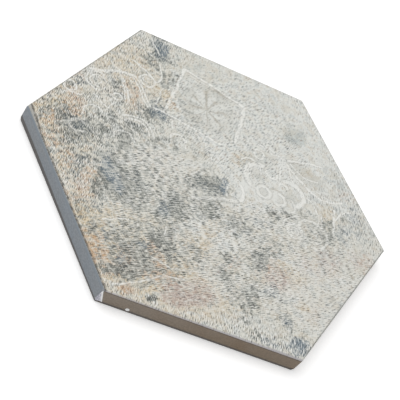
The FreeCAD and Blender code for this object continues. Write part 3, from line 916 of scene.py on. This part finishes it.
# Dark spots, alone or in rows along the two left sides.
dark_spots = stains(
    (-81.5, 32, 1.8, 1.3, 0, 1.0), (-91.5, 14, 1.4, 1.6, 0, 0.8), (-59.5, 70.5, 1.4, 1.2, 0, 0.9),
    (-56.5, 75.5, 1.4, 1.4, 0, 0.9), (-52, 85, 1.4, 1.4, 0, 0.8), (1, 35, 1.4, 1.6, 0, 0.45),
    (11.6, 43, 0.8, 2.2, -15, 0.5), (42.5, 51, 1.4, 1.1, 0, 0.6), (8, 82, 1.6, 1.3, 0, 0.5),
    (-23.7, 55, 0.9, 1.6, 0, 0.5), (-25.5, 65, 1.2, 1.6, 0, 0.5), (17, 63, 1, 1.2, 0, 0.5),
    (-43.5, -47.5, 1.6, 1.6, 0, 0.8), (-59, -55, 1.5, 3.2, 0, 0.6), (24, -67, 2.8, 1.8, 0, 0.8),
    (41.8, -2.6, 2, 1.6, -30, 0.8), (33, -5, 3.5, 1.0, 28, 0.6), (22, -8.5, 0.9, 1.6, 0, 0.5),
    (-27.5, -83.5, 3.6, 0.9, 25, 0.8), (-40.5, -2, 2, 0.6, 10, 0.7), (-33.5, -7, 1, 0.8, 0, 0.7),
    (67.8, -2, 0.9, 5, 0, 0.7), (62.6, 0, 0.8, 4, 0, 0.5), (8, -45, 2.4, 1.6, 0, 0.6),
    (-83, -25, 1, 1, 0, 0.7), (-84, -28, 0.9, 0.9, 0, 0.7), (-76, -38, 0.9, 1, 0, 0.7),
    (-93, -6, 0.9, 1, 0, 0.7), (-91, -11, 0.8, 1, 0, 0.7), (-88, -17, 0.8, 0.9, 0, 0.6),
    (-96, 5, 1.6, 0.8, 60, 0.8), (-88, 19, 1.8, 0.8, 60, 0.7), (-85.5, 25.5, 1.6, 0.8, 0, 0.7),
    (-77, 39, 1.6, 0.8, 60, 0.5), (-93, 8, 0.9, 1.6, 0, 0.7),
    (-86, 15, 0.8, 1.2, 0, 0.6))
glaze = grainy_coat(glaze, "#4a4a46", dark_spots, 0.85, 2.2, 0.35, 1.2, 0.2)

# The rim. The print stops short of the left side and the front side, where the bare glaze
# and the arris show as bands; along the left the band is painted the grey of the shaded side,
# as painted shade, and a fine line of painted shade runs along the other sides.
from_left = less(apothem / mm, towards(heading(210)))
from_front = less(apothem / mm, towards(heading(270)))
down_left = towards(heading(300))
line_place = fade(down_left, -52.0, -28.0, 3.0, 1.45)
within_line = less(from_left, line_place)
within_line = plus(within_line, swing(tooth, 1.2, 0.0))
glaze = over(glaze, "#a3a39f", fade(within_line, 0.3, -0.3, 0.0, 0.8))
grit = fade(size_of(within_line), 0.8, 0.2, 0.0, 0.85)
glaze = over(glaze, "#4f4c46", times(grit, fade(patch, 0.0, 0.6, 0.4, 1.0)))
# A strip along the left side is painted the darker grey of the side: painted shade standing in for
# a wider cushion turned from the light.
glaze = over(glaze, "#80888f", fade(from_left, 1.2, 0.8))
front_band = fade(towards((1, 0, 0)), -55.0, 60.0, 0.3, 0.9)
front_band = less(from_front, front_band)
front_band = plus(front_band, swing(tooth, 0.8, 0.0))
glaze = over(glaze, "#b6b2b5", fade(front_band, 0.4, -0.4, 0.0, 0.85))
# Along the far sides a fine dark line is painted on the cushion: painted shade of cushions seen
# edge-on.
far_rim_shade = fade(size_of(less(spot["Inset"], 0.5)), 0.5, 0.1, 0.0, 0.6)
far_side = reckon(face_finish, "MINIMUM", from_left, from_front)
far_rim_shade = times(far_rim_shade, fade(far_side, 3.0, 6.0))
glaze = over(glaze, "#6f716c", far_rim_shade)

fire(face_finish, glaze, fade(tooth, 0.2, 0.8, 0.5, 0.62), brushed, 0.04 * mm, 0.5)

bpy.ops.object.select_all(action="DESELECT")
tile.select_set(True)
bpy.ops.object.shade_smooth_by_angle(angle=math.radians(32))
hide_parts("hexagon_tile")
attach(tile, "root")


# The floor and the lights: a white studio floor under one broad soft lamp and a bright
# room. The floor looks white to the camera and keeps the tile's soft shadow.
bpy.ops.mesh.primitive_plane_add(size=6, location=(0, 0, -0.02 * mm))
floor = bpy.context.object
floor.name = "studio_floor"
paper = bpy.data.materials.new("white_floor")
paper.use_nodes = True
floor.data.materials.append(paper)
skin = paper.node_tree.nodes["Principled BSDF"]
skin.inputs["Base Color"].default_value = (0.92, 0.92, 0.92, 1)
skin.inputs["Roughness"].default_value = 1.0
skin.inputs["Specular IOR Level"].default_value = 0.0
skin.inputs["Emission Color"].default_value = (1, 1, 1, 1)
rays = put(paper.node_tree, "LightPath").outputs
seen = reckon(paper.node_tree, "MAXIMUM", rays["Is Camera Ray"], rays["Is Glossy Ray"])
seen = reckon(paper.node_tree, "MAXIMUM", seen, rays["Is Transmission Ray"])
seen = reckon(paper.node_tree, "MULTIPLY", seen, 0.34)
paper.node_tree.links.new(seen, skin.inputs["Emission Strength"])

room = bpy.data.worlds.new("bright_room")
room.use_nodes = True
room.node_tree.nodes["Background"].inputs["Color"].default_value = (1, 1, 1, 1)
room.node_tree.nodes["Background"].inputs["Strength"].default_value = 0.55
bpy.context.scene.world = room

bpy.ops.object.light_add(type="AREA", location=(-0.35, 0.25, 1.1))
lamp = bpy.context.object
lamp.name = "soft_lamp"
lamp.data.shape = "SQUARE"
lamp.data.size = 1.2
lamp.data.energy = 7.0
lamp.rotation_mode = "QUATERNION"
lamp.rotation_quaternion = lamp.location.to_track_quat("Z", "Y")

# The camera looks down on the tile from in front, slightly rolled, with a long lens.
camera = bpy.data.objects.new("camera", bpy.data.cameras.new("camera"))
bpy.context.scene.collection.objects.link(camera)
camera_place = Vector((-176.157, -373.698, 376.026)) * mm
camera_aim = Vector((-7.884, -15.541, 10.0)) * mm
camera_roll = math.radians(39.307)
camera.data.lens = 99.83
camera.data.sensor_width = 36
camera.data.clip_start = 0.01
camera.location = camera_place
camera.rotation_mode = "QUATERNION"
camera.rotation_quaternion = (camera_place - camera_aim).to_track_quat("Z", "Y") \
    @ Quaternion((0, 0, 1), camera_roll)
bpy.context.scene.camera = camera

bpy.context.scene.view_settings.view_transform = "Standard"
